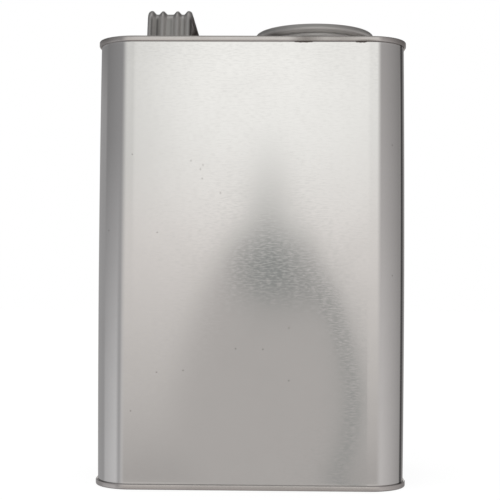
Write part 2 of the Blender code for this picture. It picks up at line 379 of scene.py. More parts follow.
def newGroup(kind, name, inputs, outputs):
    # a node group, its sockets' names listed by kind; returns it, its inputs by name and output node
    tree = bpy.data.node_groups.new(name, kind)
    for way, labelsByKind in (("INPUT", inputs), ("OUTPUT", outputs)):
        for socketKind, labels in labelsByKind.items():
            for label in labels:
                tree.interface.new_socket(label, in_out=way, socket_type="NodeSocket" + socketKind)
    get = {socket.name: nodeOutput(socket) for socket in tree.nodes.new("NodeGroupInput").outputs}
    return tree, get, tree.nodes.new("NodeGroupOutput")


def useGroup(tree, group, inputs):
    return outputsOf(put(tree, "ShaderNodeGroup", inputs, node_tree=group))


def endTree(tree, result, geometry, material):
    # every geometry tree ends in real geometry with its material
    geometry = take(tree, "GeometryNodeRealizeInstances", {"Geometry": geometry})
    geometry = take(tree, "GeometryNodeSetMaterial", {"Geometry": geometry, "Material": material})
    feed(result.inputs[0], geometry)
    return tree


def addTree(item, tree, values):
    # a geometry nodes modifier, its inputs set by their sockets' identifiers
    modifier = item.modifiers.new(tree.name, "NODES")
    modifier.node_group = tree
    for socket in tree.interface.items_tree:
        if socket.in_out == "INPUT" and socket.name in values:
            modifier[socket.identifier] = values[socket.name]


# Effects that more than one material uses

effects = {
    "lineDetail": 2.0,
    "lineRoughness": 0.6,
    "hairStretch": (0.12, 0.55, 1.0),    # hair scratches are longer and wider than the lines
    "hairBend": 0.4,
    "hairEdges": (0.66, 0.76),
    "patchDetail": 4.0,
    "patchRoughness": 0.62,
    "patchEdges": (0.42, 0.72),
    "speckSpacing": 14 * mm,
    "speckRadius": 0.05,                 # of the spacing
    "speckEdges": (0.95, 0.96),          # only a few of the cells hold a speck
}


def makeRolledLines():
    # the fine lines that rolling and drawing leave, long along U and thin across it
    tree, get, result = newGroup("ShaderNodeTree", "rolledLines", {
        "Vector": ["Place"], "Float": ["Length", "Width", "Seed"]}, {"Float": ["Lines", "Scratches"]})
    place = get["Place"] / joined(get["Length"], get["Width"], 1.0) + joined(z=get["Seed"])
    lines = take(tree, "ShaderNodeTexNoise", {"Vector": place, "Scale": 1.0, "Detail": effects["lineDetail"],
                                              "Roughness": effects["lineRoughness"]})
    hairs = take(tree, "ShaderNodeTexNoise", {"Vector": place * effects["hairStretch"], "Scale": 1.0,
                                              "Detail": 1.0, "Distortion": effects["hairBend"]})
    fill(result, {"Lines": lines, "Scratches": fade(hairs, *effects["hairEdges"])})
    return tree


def makeHandledMarks():
    # dull patches where hands and rollers went, and a few specks
    tree, get, result = newGroup("ShaderNodeTree", "handledMarks", {
        "Vector": ["Place"], "Float": ["Patch", "Seed"]}, {"Float": ["Dull", "Specks"]})
    patches = take(tree, "ShaderNodeTexNoise", {
        "Vector": get["Place"] + joined(z=get["Seed"]), "Scale": 1.0 / get["Patch"],
        "Detail": effects["patchDetail"], "Roughness": effects["patchRoughness"]})
    cells = put(tree, "ShaderNodeTexVoronoi", {"Vector": get["Place"], "Scale": 1 / effects["speckSpacing"]},
                voronoi_dimensions="2D")
    away, cellColor = outputsOf(cells, "Distance", "Color")
    near = fade(away, 0.0, effects["speckRadius"], 1.0, 0.0)
    chosen = fade(take(tree, "ShaderNodeSeparateColor", {0: cellColor}), *effects["speckEdges"])
    fill(result, {"Dull": fade(patches, *effects["patchEdges"]), "Specks": near * chosen})
    return tree


def makeSoftSpot():
    # an oval mask with a soft edge: 1 inside, 0 outside
    tree, get, result = newGroup("ShaderNodeTree", "softSpot", {
        "Vector": ["Place", "Center", "Reach"], "Float": ["Softness"]}, {"Float": ["Mask"]})
    away = lengthOf((get["Place"] - get["Center"]) / get["Reach"])
    fill(result, {"Mask": fade(away, 1.0 - get["Softness"], 1.0, 1.0, 0.0)})
    return tree


rolledLines = makeRolledLines()
handledMarks = makeHandledMarks()
softSpot = makeSoftSpot()


def softMask(place, center, reach, softness=1.0):
    return useGroup(place.tree, softSpot, {"Place": place, "Center": center, "Reach": reach,
                                           "Softness": softness})[0]


def startMaterial(name):
    material = bpy.data.materials.new(name)
    material.use_nodes = True
    tree = material.node_tree
    return material, tree, tree.nodes["Principled BSDF"]


# Tinplate: what its four finishes differ in, and what they share

tinplate = {
    "bodyTin": {
        "bright": (0.785, 0.777, 0.769), "dull": (0.70, 0.69, 0.68), "dullShare": 0.2,
        "roughness": 0.070, "grain": 0.065, "metallic": 1.0, "anisotropy": 0.5,
        "lineLength": 3.0 * mm, "lineWidth": 0.7 * mm, "lineDepth": 0.0022 * mm,
        "patch": 38 * mm, "seed": 1.0},
    "endTin": {
        "bright": (0.66, 0.630, 0.615), "dull": (0.53, 0.503, 0.485), "dullShare": 0.3,
        "roughness": 0.20, "grain": 0.03, "metallic": 1.0, "anisotropy": 0.4,
        "lineLength": 7 * mm, "lineWidth": 0.35 * mm, "lineDepth": 0.002 * mm,
        "patch": 22 * mm, "seed": 5.0},
    # the closure's bright colour is set well above the body's: partly painted light, lifting the shaded lower
    # half of the curl
    "closureTin": {
        "bright": (0.90, 0.885, 0.865), "dull": (0.70, 0.68, 0.66), "dullShare": 0.4,
        "roughness": 0.40, "grain": 0.04, "metallic": 0.86, "anisotropy": 0.3,
        "lineLength": 12 * mm, "lineWidth": 0.3 * mm, "lineDepth": 0.002 * mm,
        "patch": 16 * mm, "seed": 9.0},
    "strapTin": {
        "bright": (0.68, 0.667, 0.65), "dull": (0.53, 0.515, 0.50), "dullShare": 0.35,
        "roughness": 0.30, "grain": 0.04, "metallic": 0.95, "anisotropy": 0.45,
        "lineLength": 9 * mm, "lineWidth": 0.3 * mm, "lineDepth": 0.002 * mm,
        "patch": 12 * mm, "seed": 13.0},
}

sheetFinish = {
    "lineEdges": (0.25, 0.75),
    "lineShade": 0.08,             # how far the lines darken the sheet
    "grainEdges": (0.40, 0.68),
    "dullRoughness": 0.06,
    "scratchRoughness": 0.012,
    "speckDepth": 0.45,
    "speckColor": (0.20, 0.19, 0.18),
    "brushTurn": 0.25,             # the lines run along U, so light spreads across them
}


def makeTin(name, stainsAndShades):
    # each entry, a real stain or a painted shade: a function that gives its mask, and its colour with what it
    # adds to roughness and metallic
    look = tinplate[name]
    material, tree, shader = startMaterial(name)
    place = sheetPlace(tree)
    lines, scratches = useGroup(tree, rolledLines, {"Place": place, "Length": look["lineLength"],
                                                    "Width": look["lineWidth"], "Seed": look["seed"]})
    patches, specks = useGroup(tree, handledMarks, {"Place": place, "Patch": look["patch"],
                                                    "Seed": look["seed"]})
    dull = patches * look["dullShare"]
    shade = fade(lines, *sheetFinish["lineEdges"], 0.0, sheetFinish["lineShade"])
    color = blendColor(shade, blendColor(dull, look["bright"], look["dull"]), look["dull"])
    color = blendColor(specks * sheetFinish["speckDepth"], color, sheetFinish["speckColor"])
    roughness = dull * sheetFinish["dullRoughness"] + look["roughness"]
    roughness += scratches * sheetFinish["scratchRoughness"]
    roughness += fade(lines, *sheetFinish["grainEdges"], 0.0, look["grain"])
    metallic = look["metallic"]
    for maskOf, (layerColor, layerRoughness, layerMetallic) in stainsAndShades:
        mask = maskOf(tree)
        color = blendColor(mask, color, layerColor)
        roughness += mask * layerRoughness
        if layerMetallic:
            metallic += mask * layerMetallic
    fill(shader, {
        "Base Color": color, "Roughness": roughness, "Metallic": metallic,
        "Normal": take(tree, "ShaderNodeBump", {"Strength": 1.0, "Distance": look["lineDepth"],
                                                "Height": lines}),
        "Tangent": take(tree, "ShaderNodeTangent", direction_type="UV_MAP", uv_map=can["uvName"]),
        "Anisotropic": look["anisotropy"], "Anisotropic Rotation": sheetFinish["brushTurn"]})
    return material


# Body: the wrapped sheet, a geometry node sweep of its profile round the can

body = {
    "wallRows": 76,
    "pointsRound": 400,
    "filletSteps": 40,
    "waveHeight": 0.05 * mm,       # slight unevenness of the flat walls
    "waveLength": 62 * mm,
    "waveFade": 22 * mm,           # the seams hold the sheet still
    "seed": 4,
    "weldWidth": 0.9 * mm,
    "weldRise": 0.12 * mm,
    "weldShare": 0.697,            # along the right front corner's arc
    "weldMargin": 1.2 * mm,
    "nuggetPitch": 0.62 * mm,
    "nuggetShare": 1.7,            # length by pitch, so that they overlap
    "nuggetSpread": (0.8, 1.1),
    "nuggetSides": 12,
    "nuggetRings": 6,
    "nuggetColors": ((0.13, 0.125, 0.13), (0.27, 0.26, 0.26)),
    "nuggetGrain": 0.4 * mm,
    "nuggetEdges": (0.3, 0.7),
    "nuggetRoughness": (0.3, 0.45),
    "nuggetSeed": 3.0,
    "heatWidth": 3.3 * mm,
    "heatShares": (0.8, 1.15),     # where the band starts to fade and has gone, of its half width
    "heatDepth": 0.9,
    "heatStain": ((0.07, 0.068, 0.07), 0.2, 0.0),
    # a few small marks on the left of the front: place across, height and radius
    "marks": ((-32.0 * mm, 174.5 * mm, 0.7 * mm), (-25.6 * mm, 172.2 * mm, 0.8 * mm),
              (-27.0 * mm, 170.0 * mm, 0.8 * mm), (-26.0 * mm, 165.0 * mm, 0.7 * mm),
              (-16.2 * mm, 157.3 * mm, 0.8 * mm)),
    "markTallShare": 1.3,
    "markSoftness": 0.8,
    "markDepth": 0.28,
    "markStainAndShade": ((0.35, 0.33, 0.31), 0.1, 0.0),
}

weldRun = canWidth / 2 - can["cornerRadius"] + can["cornerRadius"] * math.pi / 2 * body["weldShare"]
wallLow = seam["length"] + body["weldMargin"]
wallLength = can["height"] - 2 * wallLow
wallHeights = [wallLow + wallLength * step / body["wallRows"] for step in range(body["wallRows"] + 1)]


def bowAt(height):
    share = (height - wallLow) / wallLength
    return can["bow"] * 4 * share * (1 - share) if 0 < share < 1 else 0.0


def bodyProfile():
    # from the top hook's free end down the wall to the bottom hook's, by inset and drop
    hook = [(bodyHook, bodyHookDrop)]
    hook += arcPoints(((bodyHook + bodyWall) / 2, bodyTurnDrop), bodyTurn, 180, 360, seam["bendSteps"])
    wall = [(bodyWall - bowAt(height), can["height"] - height) for height in reversed(wallHeights)]
    foot = [(inset, can["height"] - drop) for inset, drop in reversed(hook)]
    return hook + wall + foot


def polylineItem(name, points):
    mesh = bpy.data.meshes.new(name)
    mesh.from_pydata(points, [(index, index + 1) for index in range(len(points) - 1)], [])
    return makeItem(name, mesh)


def makeSweepTree():
    tree, get, result = newGroup("GeometryNodeTree", "wrappedSheet", {
        "Geometry": ["Geometry"], "Object": ["Profile"], "Material": ["Material"],
        "Float": ["Width", "Depth", "Height", "Corner radius", "Wave height", "Wave length", "Wave fade",
                  "Seed"],
        "Int": ["Fillet steps", "Points round"]}, {"Geometry": ["Geometry"]})
    plan = take(tree, "GeometryNodeCurvePrimitiveQuadrilateral", {"Width": get["Width"],
                                                                  "Height": get["Depth"]},
                mode="RECTANGLE")
    plan = take(tree, "GeometryNodeFilletCurve", {"Curve": plan, "Count": get["Fillet steps"],
                                                  "Radius": get["Corner radius"]}, mode="POLY")
    plan = take(tree, "GeometryNodeResampleCurve", {"Curve": plan, "Count": get["Points round"]},
                mode="COUNT")
    plan = take(tree, "GeometryNodeTransform", {"Geometry": plan, "Translation": joined(z=get["Height"])})
    plan = take(tree, "GeometryNodeSetCurveNormal", {"Curve": plan}, mode="Z_UP")
    profile = take(tree, "GeometryNodeObjectInfo", {"Object": get["Profile"]}, "Geometry")
    profile = take(tree, "GeometryNodeMeshToCurve", {"Mesh": profile})
    sheet = take(tree, "GeometryNodeCurveToMesh", {"Curve": plan, "Profile Curve": profile})
    position = take(tree, "GeometryNodeInputPosition")
    noise = take(tree, "ShaderNodeTexNoise", {
        "Vector": position, "W": get["Seed"], "Scale": 1.0 / get["Wave length"], "Detail": 1.0},
        noise_dimensions="4D")
    height = partsOf(position)[2]
    still = fade(height, 0.0, get["Wave fade"]) * fade(get["Height"] - height, 0.0, get["Wave fade"])
    wave = (noise - 0.5) * get["Wave height"] * still
    sheet = take(tree, "GeometryNodeSetPosition", {
        "Geometry": sheet, "Offset": take(tree, "GeometryNodeInputNormal") * wave})
    return endTree(tree, result, sheet, get["Material"])


def mapSheet(mesh, startRun):
    # U is the run round the can from the weld, V the height
    layer = mesh.uv_layers.get(can["uvName"]) or mesh.uv_layers.new(name=can["uvName"])
    runs = [(placeRound(*vert.co.xy) - startRun) % roundLength for vert in mesh.vertices]
    for face in mesh.polygons:
        middle = (placeRound(*face.center.xy) - startRun) % roundLength
        for loop in face.loop_indices:
            index = mesh.loops[loop].vertex_index
            run = runs[index]
            if run - middle > roundLength / 2:
                run -= roundLength
            if middle - run > roundLength / 2:
                run += roundLength
            layer.data[loop].uv = (run, mesh.vertices[index].co.z)


def heatBand(tree):
    # the dark band that welding leaves on both sides of the seam; the weld is at U = 0
    run = partsOf(sheetPlace(tree))[0]
    near = calc("MINIMUM", abs(run), abs(run - roundLength))
    inner, outer = (share * body["heatWidth"] / 2 for share in body["heatShares"])
    return fade(near, inner, outer, body["heatDepth"], 0.0)


def frontMarks(tree):
    place = sheetPlace(tree)
    masks = [softMask(place, ((across - weldRun) % roundLength, height, 0.0),
                      (radius, radius * body["markTallShare"], 1.0), body["markSoftness"])
             for across, height, radius in body["marks"]]
    return sum(masks) * body["markDepth"]


def makeCanBody():
    profileItem = polylineItem("bodyProfile", [(-inset, drop, 0) for inset, drop in bodyProfile()])
    material = makeTin("bodyTin", ((heatBand, body["heatStain"]), (frontMarks, body["markStainAndShade"])))
    item = makeItem("canBody", bpy.data.meshes.new("canBody"))
    addTree(item, makeSweepTree(), {
        "Width": canWidth, "Depth": canDepth, "Height": can["height"], "Corner radius": can["cornerRadius"],
        "Fillet steps": body["filletSteps"], "Points round": body["pointsRound"], "Profile": profileItem,
        "Wave height": body["waveHeight"], "Wave length": body["waveLength"],
        "Wave fade": body["waveFade"], "Seed": float(body["seed"]), "Material": material})
    addPlate(item, can["bodyPlate"])
    settle(item, "can", "body_tinplate", "body_shell")
    mapSheet(item.data, weldRun)
    bpy.data.objects.remove(profileItem)


def makeWeldTree():
    # a row of small overlapping nuggets along the seam's line
    tree, get, result = newGroup("GeometryNodeTree", "weldNuggets", {
        "Geometry": ["Geometry"], "Material": ["Material"], "Int": ["Sides", "Rings", "Seed"],
        "Float": ["Pitch", "Length share", "Width", "Rise", "Turn", "Least", "Most"]}, {
        "Geometry": ["Geometry"]})
    line = take(tree, "GeometryNodeMeshToCurve", {"Mesh": get["Geometry"]})
    line = take(tree, "GeometryNodeResampleCurve", {"Curve": line, "Length": get["Pitch"]}, mode="LENGTH")
    nugget = take(tree, "GeometryNodeMeshUVSphere", {"Segments": get["Sides"], "Rings": get["Rings"],
                                                     "Radius": 0.5})
    spread = take(tree, "FunctionNodeRandomValue", {2: get["Least"], 3: get["Most"], "Seed": get["Seed"]},
                  1, data_type="FLOAT")
    size = joined(get["Width"], get["Rise"], get["Pitch"] * get["Length share"]) * spread
    row = take(tree, "GeometryNodeInstanceOnPoints", {
        "Points": line, "Instance": nugget, "Rotation": joined(z=get["Turn"]), "Scale": size})
    return endTree(tree, result, row, get["Material"])


def makeWeldMetal():
    material, tree, shader = startMaterial("weldMetal")
    lines = useGroup(tree, rolledLines, {"Place": objectPlace(tree), "Length": body["nuggetGrain"],
                                         "Width": body["nuggetGrain"], "Seed": body["nuggetSeed"]})[0]
    fill(shader, {"Base Color": blendColor(lines, *body["nuggetColors"]), "Metallic": 1.0,
                  "Roughness": fade(lines, *body["nuggetEdges"], *body["nuggetRoughness"])})
    return material


def makeSideWeld():
    angle = math.radians(-90 + 90 * body["weldShare"])
    radius = can["cornerRadius"] - bodyWall + can["bodyPlate"] / 2
    centerX = canWidth / 2 - can["cornerRadius"]
    centerY = -canDepth / 2 + can["cornerRadius"]
    points = []
    for height in wallHeights:
        reach = radius + bowAt(height)
        points.append((centerX + reach * math.cos(angle), centerY + reach * math.sin(angle), height))
    item = polylineItem("sideWeld", points)
    least, most = body["nuggetSpread"]
    addTree(item, makeWeldTree(), {
        "Pitch": body["nuggetPitch"], "Length share": body["nuggetShare"], "Width": body["weldWidth"],
        "Rise": 2 * body["weldRise"], "Turn": angle + math.pi / 2, "Least": least, "Most": most,
        "Sides": body["nuggetSides"], "Rings": body["nuggetRings"], "Seed": body["seed"],
        "Material": makeWeldMetal()})
    settle(item, "can", "body_tinplate")


makeCanBody()
makeSideWeld()


# Ends: seamed edge, channel and raised panel

ends = {
    "countersink": 4.0 * mm,
    "chuckSlope": 0.25 * mm,
    "channelRadius": 1.0 * mm,
    "channelWidth": 1.0 * mm,
    "panelStep": 0.8 * mm,
    "panelStepWidth": 1.1 * mm,
    "footBeads": (16.0 * mm, 27.0 * mm),
    "footBeadWidth": 4.0 * mm,
    "footBeadHeight": 0.9 * mm,
    "beadSteps": 10,
    "flatMargin": 0.5 * mm,        # narrow flat band before a wide flat, so that its shading stays even
    "turnSteps": 144,
    "topEdgeWidth": 0.35 * mm,
    "topEdgeDepth": 0.5,
    # darker patches on the top seam, painted shade at the two front corners: place across, back from the
    # front and down, its reach the same ways, depth
    "darkPatches": (((29 * mm, 0, 1.5 * mm), (12 * mm, 8 * mm, 8 * mm), 0.64),
               ((48 * mm, 0, 1.5 * mm), (17 * mm, 8 * mm, 8 * mm), 0.35),
               ((61 * mm, 0, 2.9 * mm), (9 * mm, 8 * mm, 1.7 * mm), 0.62),
               ((81 * mm, 10 * mm, 1.5 * mm), (13 * mm, 18 * mm, 8 * mm), 0.45),
               ((-82 * mm, 10 * mm, 1.5 * mm), (13 * mm, 18 * mm, 8 * mm), 0.4)),
    "darkPatchLook": ((0.20, 0.18, 0.165), 0.1, 0.0),
}

neck = {
    "margin": 0.3 * mm,
    "rootRadius": 1.5 * mm,
    "lipRadius": 0.5 * mm,
}

closure = {
    "ringPlate": 0.30 * mm,
    "beadRadius": 0.85 * mm,
    "guideDrop": 2.5 * mm,
    "grooveRadius": 0.6 * mm,
    "grooveHeight": 0.9 * mm,
    "foldFlat": 0.85 * mm,
    "foldReturn": 0.45 * mm,
    "gasketPlate": 0.20 * mm,
    "plate": 0.30 * mm,
    "plugRadius": 28.65 * mm,
    "clearance": 0.30 * mm,
    "seatGap": 0.30 * mm,
    "curlHeight": 4.9 * mm,
    "bend": 1.0 * mm,
    "depth": 9.5 * mm,
    "corner": 1.2 * mm,
    "channel": 2.0 * mm,
    "step": 1.2 * mm,
    "stepWidth": 1.5 * mm,
    "flatMargin": 0.5 * mm,
    "beadPlace": 14.5 * mm,
    "beadWidth": 3.4 * mm,
    "beadHeight": 0.8 * mm,
    "centerShares": (0.68, 0.48, 0.28, 0.08, 0.0),   # rings inside the bead, of its place
    "curlSteps": 20,
    "bendSteps": 8,
    "stepSteps": 10,
    "beadSteps": 12,
    "gasketSteps": 4,
    "turnSteps": 160,
    "foldShade": 0.9 * mm,         # painted shade under the fold, and a darker painted stretch above it at the left
    "shadePlace": (10 * mm, -25 * mm, 5.0 * mm),      # across, front and below the top
    "shadeReach": (9 * mm, 12 * mm, 2.6 * mm),
    "shadeDepth": 0.85,
    "shadeLook": ((0.20, 0.19, 0.18), 0.1, 0.0),
    "topShadeFades": (3.7 * mm, 1.9 * mm),               # below the top
    "topShadeDepth": 0.62,
    "topShadeLook": ((0.30, 0.29, 0.28), 0.05, 0.0),
    "insideFades": (-0.5 * mm, 1.0 * mm),            # outside the plug's radius
    "insideFinishAndShade": ((0.64, 0.625, 0.61), -0.17, 0.14),
}

# Lining compound in the seams, and what the seaming squeezed out under the rim in two places
compounds = {
    "liningCompound": {"patch": 2 * mm, "seed": 21.0, "colors": ((0.30, 0.30, 0.29), (0.22, 0.215, 0.205)),
                       "roughness": (0.6, 0.8), "pits": 0.02 * mm},
    "squeezedCompound": {"patch": 1.2 * mm, "seed": 31.0,
                         "colors": ((0.085, 0.062, 0.055), (0.14, 0.11, 0.10)),
                         "roughness": (0.45, 0.65), "pits": 0.0},
}

chuckFoot = chuckWall + ends["chuckSlope"]
channelEnd = chuckFoot + ends["channelRadius"] + ends["channelWidth"]
panelEdge = channelEnd + ends["panelStepWidth"]
panelDrop = ends["countersink"] + can["endPlate"] / 2
raisedDrop = panelDrop - ends["panelStep"]
panelHeight = can["height"] - raisedDrop
guideRadius = closure["plugRadius"] + closure["clearance"] + closure["ringPlate"] / 2
ringRadius = guideRadius + 2 * closure["beadRadius"]
foldRadius = ringRadius + closure["grooveRadius"] + closure["foldFlat"]
neckRadius = ringRadius + neck["margin"]
foldTurn = can["endPlate"] / 2 + closure["gasketPlate"] + 2 * seam["layerGap"] + closure["ringPlate"] / 2
lipHeight = lidTop - closure["curlHeight"] - closure["grooveHeight"] - closure["ringPlate"] / 2 - foldTurn


def endProfile():
    # from the cover hook's free end to the edge of the raised panel, by inset and drop
    steps = seam["bendSteps"]
    rim = can["endPlate"] / 2 + seam["rimBend"]
    points = [(coverHook, coverHookDrop)]
    points += arcPoints(((seamingWall + coverHook) / 2, coverTurnDrop), coverTurn, 0, 180, steps)
    points += arcPoints((seamingWall + seam["rimBend"], rim), seam["rimBend"], 180, 270, steps)
    points += arcPoints((chuckWall - seam["rimBend"], rim), seam["rimBend"], 270, 360, steps)
    channel = (chuckFoot + ends["channelRadius"], panelDrop - ends["channelRadius"])
    points += arcPoints(channel, ends["channelRadius"], 180, 90, steps)
    points += easePoints((channelEnd, panelDrop), (panelEdge, raisedDrop), steps)
    return points


def planRings(profile, heightOf):
    return [[(x, y, heightOf(drop)) for x, y in outlineRing(inset)] for inset, drop in profile]


def turnRings(profile, steps):
    return [[(x, y, height) for x, y in circleRing(radius, steps)] for radius, height in profile]


def topSeamDarkening(tree):
    # the top seam is darker in patches over the front and darker along its top edge, with painted shade at
    # its front corners
    where = objectPlace(tree)
    top = can["height"]
    darkPatches = [softMask(where, (across, back - canDepth / 2, top - down), reach) * depth
              for (across, back, down), reach, depth in ends["darkPatches"]]
    darkTop = fade(partsOf(where)[2], top - ends["topEdgeWidth"], top, 0.0, ends["topEdgeDepth"])
    return calc("MAXIMUM", sum(darkPatches), darkTop)


def makeTopEnd(material):
    bm = bmesh.new()
    profile = endProfile() + [(panelEdge + ends["flatMargin"], raisedDrop)]
    verts = loftRings(bm, planRings(profile, lambda drop: can["height"] - drop), outlineRuns)
    root = neck["rootRadius"]
    lip = neck["lipRadius"]
    steps = seam["bendSteps"]
    around = [(neckRadius + root + ends["flatMargin"], panelHeight)]
    around += arcPoints((neckRadius + root, panelHeight + root), root, 270, 180, steps)
    around += arcPoints((neckRadius + lip, lipHeight - lip), lip, 180, 90, steps)
    around.append((foldRadius, lipHeight))
    neckRuns = runsOf(circleRing(neckRadius, ends["turnSteps"]))
    neckVerts = loftRings(bm, turnRings(around, ends["turnSteps"]), neckRuns)
    fillFlat(bm, ringEdges(bm, verts[-1]) + ringEdges(bm, neckVerts[0]))
    item = makeItem("topEnd", meshOf("topEnd", bm), material)
    addPlate(item, can["endPlate"])
    settle(item, "can", "end_tinplate", "top_end")


def makeBottomEnd(material):
    bm = bmesh.new()
    profile = endProfile()
    for middle in ends["footBeads"]:
        profile += beadPoints(middle, raisedDrop, ends["footBeadWidth"], ends["footBeadHeight"],
                              ends["beadSteps"])
    profile.append((profile[-1][0] + ends["flatMargin"], raisedDrop))
    verts = loftRings(bm, planRings(profile, lambda drop: drop), outlineRuns)
    fillFlat(bm, ringEdges(bm, verts[-1]))
    item = makeItem("bottomEnd", meshOf("bottomEnd", bm), material)
    addPlate(item, can["endPlate"])
    settle(item, "can", "end_tinplate", "bottom_end")


def makeCompound(name):
    # matt and a little uneven
    look = compounds[name]
    material, tree, shader = startMaterial(name)
    uneven = useGroup(tree, handledMarks, {"Place": objectPlace(tree), "Patch": look["patch"],
                                           "Seed": look["seed"]})[0]
    fill(shader, {"Base Color": blendColor(uneven, *look["colors"]),
                  "Roughness": fade(uneven, 0.0, 1.0, *look["roughness"])})
    if look["pits"]:
        pits = take(tree, "ShaderNodeBump", {"Strength": 1.0, "Distance": look["pits"], "Height": uneven})
        fill(shader, {"Normal": pits})
    return material


def makeSeamCompound(name, node, height, material):
    # a flat ring of compound with a rounded outer and inner edge
    edge = (seam["compoundRoom"] / 2 - seam["layerGap"]) * seam["compoundShare"]
    middle = (bodyHook + bodyWall) / 2
    reach = seam["compoundWidth"] / 2 - edge
    profile = arcPoints((middle - reach, 0), edge, 270, 90, seam["compoundSteps"])
    profile += arcPoints((middle + reach, 0), edge, 90, -90, seam["compoundSteps"])
    profile.append(profile[0])
    bm = bmesh.new()
    loftRings(bm, planRings(profile, lambda rise: height + rise), outlineRuns)
    bmesh.ops.remove_doubles(bm, verts=bm.verts, dist=can["mergeDistance"])
    item = makeItem(name, meshOf(name, bm), material)
    settle(item, "can", "sealing_compound", node)


endTin = makeTin("endTin", ((topSeamDarkening, ends["darkPatchLook"]),))
lining = makeCompound("liningCompound")
makeTopEnd(endTin)
makeBottomEnd(endTin)
compoundDrop = can["endPlate"] + seam["compoundRoom"] / 2
makeSeamCompound("topCompound", "top_seam_compound", can["height"] - compoundDrop, lining)
makeSeamCompound("bottomCompound", "bottom_seam_compound", compoundDrop, lining)


# Mouth: ring, gasket and plug, all turned


def makeTurned(name, profile, material, plate, bodyName, slotName, node, flatWithin=0.0):
    # inside the radius flatWithin, the rolling lines run straight along X
    bm = bmesh.new()
    steps = closure["turnSteps"]
    wide = max(radius for radius, height in profile)
    loftRings(bm, turnRings(profile, steps), runsOf(circleRing(wide, steps)))
    layer = bm.loops.layers.uv.get(can["uvName"])
    for face in bm.faces:
        if all(math.dist(vert.co.xy, (mouthPlace, 0)) < flatWithin for vert in face.verts):
            for loop in face.loops:
                loop[layer].uv = loop.vert.co.xy
    bmesh.ops.remove_doubles(bm, verts=bm.verts, dist=can["mergeDistance"])
    item = makeItem(name, meshOf(name, bm), material)
    addPlate(item, plate)
    settle(item, bodyName, slotName, node)


def makeMouthRing(material):
    steps = closure["curlSteps"]
    bead = closure["beadRadius"]
    beadHeight = lidTop - closure["plate"] - closure["seatGap"] - closure["ringPlate"] / 2 - bead
    groove = closure["grooveRadius"]
    profile = [(guideRadius, can["height"] - closure["guideDrop"])]
    profile += arcPoints((guideRadius + bead, beadHeight), bead, 180, 0, steps)
    profile += arcPoints((ringRadius + groove, lipHeight + foldTurn + groove), groove, 180, 270, steps)
    profile += arcPoints((foldRadius, lipHeight), foldTurn, 90, -90, steps)
    profile.append((foldRadius - closure["foldReturn"], lipHeight - foldTurn))
    makeTurned("mouthRing", profile, material, closure["ringPlate"], "can", "closure_tinplate", "mouth_ring")


def makeMouthGasket(material):
    height = lipHeight + can["endPlate"] / 2 + seam["layerGap"] + closure["gasketPlate"] / 2
    profile = easePoints((neckRadius + neck["lipRadius"], height), (foldRadius, height),
                         closure["gasketSteps"])
    makeTurned("mouthGasket", profile, material, closure["gasketPlate"], "can", "sealing_compound",
               "mouth_gasket")


def makePlugLid(material):
    top = lidTop - closure["plate"] / 2
    floorHeight = lidTop - closure["depth"]
    wall = closure["plugRadius"] - closure["plate"] / 2
    curl = (closure["curlHeight"] - closure["plate"]) / 2
    curlPlace = (lidHigh[0] - lidLow[0]) / 2 - closure["plate"] / 2 - curl
    bend = closure["bend"]
    corner = closure["corner"]
    shelf = wall - corner - closure["channel"]
    raised = floorHeight + closure["step"]
    profile = arcPoints((curlPlace, top - curl), curl, -90, 90, closure["curlSteps"])
    profile += arcPoints((wall + bend, top - bend), bend, 90, 180, closure["bendSteps"])
    profile += arcPoints((wall - corner, floorHeight + corner), corner, 0, -90, closure["bendSteps"])
    profile += easePoints((shelf, floorHeight), (shelf - closure["stepWidth"], raised), closure["stepSteps"])
    profile += beadPoints(closure["beadPlace"], raised, closure["beadWidth"], closure["beadHeight"],
                          closure["beadSteps"])[::-1]
    profile += [(closure["beadPlace"] * share, raised) for share in closure["centerShares"]]
    makeTurned("plugLid", profile, material, closure["plate"], "plug", "closure_tinplate", "plug_lid",
               shelf + closure["flatMargin"])


def paintedFoldShade(tree):
    # painted shade under the folded edge of the ring, and above it at the left
    where = objectPlace(tree)
    across, front, below = closure["shadePlace"]
    stretch = softMask(where, (across, front, lidTop - below), closure["shadeReach"])
    under = fade(partsOf(where)[2], lipHeight - closure["foldShade"], lipHeight + closure["foldShade"],
                 1.0, 0.0)
    return calc("MAXIMUM", under, stretch) * closure["shadeDepth"]


def paintedTopShade(tree):
    # the curl's upper half is darker: painted shade, with a little more roughness
    start, full = closure["topShadeFades"]
    return fade(partsOf(objectPlace(tree))[2], lidTop - start, lidTop - full, 0.0, closure["topShadeDepth"])


def insidePlug(tree):
    # inside the plug the sheet is smoother and more metallic, and its colour darker: painted shade in the
    # recess
    away = (objectPlace(tree) - (mouthPlace, 0.0, 0.0)) * (1.0, 1.0, 0.0)
    inner, outer = closure["insideFades"]
    return fade(lengthOf(away), closure["plugRadius"] + inner, closure["plugRadius"] + outer, 1.0, 0.0)


closureTin = makeTin("closureTin", ((paintedFoldShade, closure["shadeLook"]), (paintedTopShade, closure["topShadeLook"]),
                                    (insidePlug, closure["insideFinishAndShade"])))
makeMouthRing(closureTin)
makeMouthGasket(lining)
makePlugLid(closureTin)


# Strap handle: its ribbed section laid along the arch, the ribs fading into the feet

